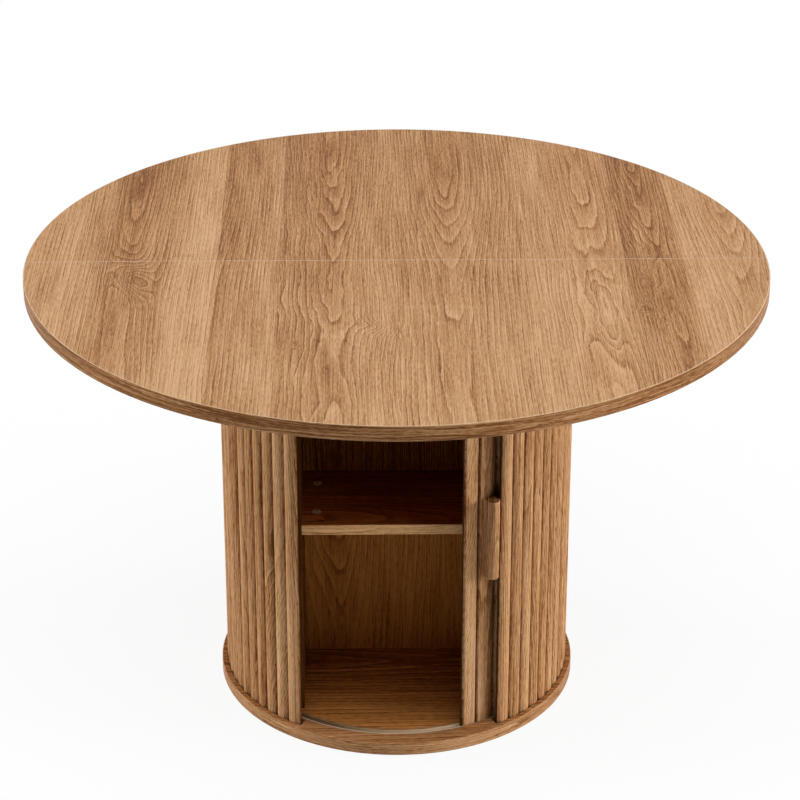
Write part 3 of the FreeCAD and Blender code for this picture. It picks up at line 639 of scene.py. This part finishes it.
def oak_handle():
    """The upright pull bar."""
    finish = Finish("oak_handle", OUTER_SPECULAR)
    x, y, z = finish.place()
    across = DOOR_FACE * PER_DEGREE * finish.bearing(x, y) + 0.6 * axis_distance(x, y)
    wood = Oak(finish, across, z, board=131.0)
    wood.saw(heart=330.0, below=14 + 10 * finish.rise(z, 310, 440), spacing=6.0)
    away = abs(z - HANDLE_MIDDLE) - HANDLE_HALF
    end = finish.rise(away, -0.3, -0.1)
    # Painted highlight and wear: a paler arris round the ends
    arris_highlight_and_wear = finish.rise(away, -2.0, -1.0) * (1 - end)
    tone = wood.tone(0.53, contrast=1.2) - 0.24 * end + 0.3 * arris_highlight_and_wear
    return brushed(finish, stain(finish, tone, wood.core), wood.height(), HANDLE_ROUGHNESS)


def beech_dowels():
    """Turned beech with short flecks along its grain."""
    finish = Finish("beech_dowels")
    x, y, z = finish.place()
    grain = finish.noise(x / 40, (y + z) / 1.5, 3.0, 4.0, 0.6)
    fleck = finish.rise(finish.noise(x / 3, (y + z) / 0.5, 5.0, 1.0), 0.12, 0.2)
    tone = (0.5 + 1.4 * grain - 0.3 * fleck).limit()
    colour = finish.mix(tone, (0.46, 0.29, 0.16), (0.68, 0.49, 0.31))
    return finish.made(colour, 0.6 - 0.1 * grain, tone, depth=0.08)


def track_plastic():
    """Cream plastic of the tracks, with fine rub marks along the run, painted shade in its channel and
    beyond the opening, and a painted highlight on its outer lip.
    """
    finish = Finish("track_plastic", specular=0.4)
    place = finish.place()
    x, y, z = place
    radius = axis_distance(x, y)
    bearing = finish.bearing(x, y)
    rub = finish.noise(radius / 0.5, bearing / 9, z / 2, 3.0, 0.6)
    tone = (0.5 + 0.9 * finish.mottle(place, 14, 3.0) + 0.8 * rub).limit()
    colour = finish.mix(tone, (0.74, 0.60, 0.42), (0.92, 0.80, 0.62))
    # Painted shade in the channel, deeper on the left, and a painted highlight on the outer lip
    inner_half = 1 - finish.rise(radius, DOOR_FACE - 6, DOOR_FACE)
    colour = finish.tint(inner_half, colour, (0.88, 0.80, 0.70))
    bed = 1 - finish.rise(radius, DOOR_FACE - 0.5, DOOR_FACE + 0.5)
    left_half = 1 - finish.rise(bearing, -26, 0)
    colour = finish.tint(bed * left_half, colour, (0.42, 0.34, 0.25))
    colour = finish.mix(0.7 * (1 - bed), colour, (1.0, 0.94, 0.82))
    # Painted shadow beyond the opening, where the door stands over the track
    painted_door_shadow = finish.rise(bearing, DOOR_START - 0.4, DOOR_START)
    colour = finish.mix(0.8 * painted_door_shadow, colour, (0.15, 0.09, 0.05))
    return finish.made(colour, 0.42 + 0.25 * rub, 0.5 + rub, depth=0.05)


def zinc_steel():
    """Zinc-plated steel of the screws and bolts: cloudy plating with fine scratches."""
    finish = Finish("zinc_steel", metallic=1.0)
    place = finish.place()
    x, y, z = place
    cloud = finish.mottle(place, 2.2, 3.0, 0.6)
    scratch = finish.rise(abs(finish.noise((x + y) / 0.25, (x - y) / 9, z / 0.6, 2.0)), 0.14, 0.24)
    tone = (0.55 + 0.9 * cloud - 0.25 * scratch).limit()
    colour = finish.mix(tone, (0.44, 0.44, 0.43), (0.74, 0.73, 0.70))
    return finish.made(colour, 0.3 + 0.3 * cloud + 0.12 * scratch, tone, depth=0.03)


def black_steel():
    """Black-painted steel of the joining plates and their screws, finely pebbled."""
    finish = Finish("black_steel", specular=0.1)
    place = finish.place()
    pebble = finish.mottle(place, 0.6)
    cloud = finish.mottle(place, 8, 3.0, 0.6)
    tone = (0.5 + 0.7 * pebble + 0.8 * cloud).limit()
    colour = finish.mix(tone, (0.018, 0.016, 0.014), (0.055, 0.050, 0.045))
    return finish.made(colour, 0.72 + 0.2 * cloud, pebble + 0.5, depth=0.06)


def cap_plastic():
    """Pale brown moulded caps of the cam locks, finely grained."""
    finish = Finish("cap_plastic", specular=0.35)
    place = finish.place()
    grain = finish.mottle(place, 0.4, 3.0, 0.6)
    tone = (0.5 + 0.8 * grain + 0.8 * finish.mottle(place, 5)).limit()
    colour = finish.mix(tone, (0.56, 0.38, 0.26), (0.90, 0.70, 0.54))
    return finish.made(colour, 0.36 + 0.3 * grain, grain + 0.5, depth=0.04)


# Width of a thread of the canvas, in millimetres
THREAD = 0.9


def backing_cloth():
    """Brown canvas that the tambour slats are glued to, woven over and under."""
    finish = Finish("backing_cloth", specular=0.0)
    x, y, z = finish.place()
    warp = (DOOR_FACE * PER_DEGREE * math.pi / THREAD) * finish.bearing(x, y)
    weft = (math.pi / THREAD) * z
    weave = 0.5 + 0.5 * warp.sine() * weft.sine()
    slub = finish.noise(x / 3, y / 3, z / 14, 3.0, 0.6)
    tone = (0.25 + 0.5 * weave + 0.9 * slub).limit()
    colour = finish.mix(tone, (0.06, 0.027, 0.008), (0.17, 0.080, 0.028))
    return finish.made(colour, 0.9 - 0.1 * weave, weave, depth=0.2)


def glide_felt():
    """Dark pressed felt of the floor glides."""
    finish = Finish("glide_felt", specular=0.15)
    place = finish.place()
    hairs = finish.mottle(place, 0.7, 4.0, 0.7)
    tone = (0.5 + hairs + 0.6 * finish.mottle(place, 6)).limit()
    colour = finish.mix(tone, (0.030, 0.026, 0.022), (0.105, 0.094, 0.082))
    return finish.made(colour, 0.92 + 0.1 * hairs, tone, depth=0.25)


TOP = oak_top()
# The side panels' low tone and dark tint are painted shade
SIDE_PANEL = oak_panel("oak_side_panel", 0.16, 33.0, SIDE_PANEL_SHADOW_TINT)
CLOTH = backing_cloth()
TRACK = track_plastic()
ZINC = zinc_steel()
BLACK = black_steel()
BEECH = beech_dowels()
DOOR_SLATS = oak_door_slats()
SHELL_SLATS = oak_shell_slats()

FINISHES = {
    "table_top_front": TOP,
    "table_top_rear": TOP,
    "plinth": oak_disc("oak_plinth", 0.53),
    # The crown board's low tone is painted shade for the upper compartment
    "crown_board": oak_disc("oak_crown_board", 0.10),
    "shelf": oak_shelf(),
    "shelf_cam_locks": cap_plastic(),
    "left_side_panel": SIDE_PANEL,
    "right_side_panel": SIDE_PANEL,
    "back_panel": oak_panel("oak_back_panel", 0.80, 27.0, BACK_PANEL_TINT),
    "left_shell_slats": SHELL_SLATS,
    "right_shell_slats": SHELL_SLATS,
    "door_handle": oak_handle(),
    "lower_door_track": TRACK,
    "upper_door_track": TRACK,
    "left_shell_backing": CLOTH,
    "right_shell_backing": CLOTH,
    "door_backing": CLOTH,
    "joining_plates": BLACK,
    "joining_plate_screws": BLACK,
    "seam_dowels": BEECH,
    "shelf_dowels": BEECH,
    "floor_glides": glide_felt(),
}
for name, node in nodes.items():
    if name.startswith("door_slat_"):
        finish = DOOR_SLATS
    else:
        finish = FINISHES.get(name, ZINC)
    node.data.materials.clear()
    node.data.materials.append(finish)


# Half the floor's width, in metres
FLOOR_HALF = 20

# Where the light that the floor throws back fades, in millimetres from the table's middle
FLOOR_FADE = (900.0, 2200.0)

# How much of the seen floor is plain white, under which the table's shadow stays faint
FLOOR_GLOW = 0.91


def make_floor():
    """A wide pale floor that is seen as white, with the table's shadow."""
    mesh = bpy.data.meshes.new("floor")
    corners = [(x * FLOOR_HALF, y * FLOOR_HALF, 0) for x, y in ((-1, -1), (1, -1), (1, 1), (-1, 1))]
    mesh.from_pydata(corners, [], [(0, 1, 2, 3)])
    floor = bpy.data.objects.new("floor", mesh)
    bpy.context.scene.collection.objects.link(floor)
    finish = Finish("pale_floor")
    x, y, z = finish.place()
    far = finish.rise(axis_distance(x, y), *FLOOR_FADE)
    near_bounce = finish.node("ShaderNodeBsdfDiffuse", {}, {"Color": (0.94, 0.93, 0.92)})
    far_bounce = finish.node("ShaderNodeBsdfDiffuse", {}, {"Color": (0.25, 0.25, 0.25)})
    bounce = finish.node("ShaderNodeMixShader", {}, {0: far, 1: near_bounce, 2: far_bounce})
    shaded = finish.node("ShaderNodeBsdfDiffuse", {}, {"Color": WHITE})
    glow = finish.node("ShaderNodeEmission", {}, {"Color": WHITE})
    pale = finish.node("ShaderNodeMixShader", {}, {0: FLOOR_GLOW, 1: shaded, 2: glow})
    finish.surface(finish.node("ShaderNodeMixShader", {}, {0: finish.seen_white(), 1: bounce, 2: pale}))
    mesh.materials.append(finish.material)


def light_room(strength):
    """A faint even room light; the eye and reflections see white."""
    world = bpy.data.worlds.new("studio")
    bpy.context.scene.world = world
    room = Web(world)
    dim = room.node("ShaderNodeBackground", {}, {"Color": WHITE, "Strength": strength})
    white = room.node("ShaderNodeBackground", {}, {"Color": WHITE, "Strength": 1.0})
    light = room.node("ShaderNodeMixShader", {}, {0: room.seen_white(), 1: dim, 2: white})
    room.node("ShaderNodeOutputWorld", {}, {"Surface": light})


# Lamps: bearing from the front to the right, height and spread in degrees, and level
LAMPS = {
    "left_lamp": (-101, 10, 24, 0.80),
    "right_lamp": (88, 10, 24, 0.70),
    "right_softbox": (68, 12, 50, 0.36),
    "ceiling_lamp": (0, 76, 60, 0.64),
}


def add_lamp(name, bearing, height, spread, level):
    """A wide soft lamp, which glossy surfaces don't mirror."""
    lamp = bpy.data.lights.new(name, "SUN")
    lamp.energy = math.pi * level
    lamp.angle = math.radians(spread)
    lamp_object = bpy.data.objects.new(name, lamp)
    lamp_object.rotation_euler = (math.radians(90 - height), 0, math.radians(bearing))
    lamp_object.visible_glossy = False
    bpy.context.scene.collection.objects.link(lamp_object)


def add_camera():
    """The camera, where the photograph was taken from."""
    lens = bpy.data.cameras.new("camera")
    lens.lens = 124.83
    lens.sensor_width = 36
    lens.shift_x = 0.00425
    lens.shift_y = -0.00125
    camera = bpy.data.objects.new("camera", lens)
    camera.location = (-0.0540, -4.1256, 2.525)
    camera.rotation_euler = (math.radians(63.91), 0, math.radians(-0.75))
    bpy.context.scene.collection.objects.link(camera)
    bpy.context.scene.camera = camera


make_floor()
light_room(strength=0.01)
for lamp_name, settings in LAMPS.items():
    add_lamp(lamp_name, *settings)
add_camera()
bpy.context.scene.view_settings.view_transform = "Standard"
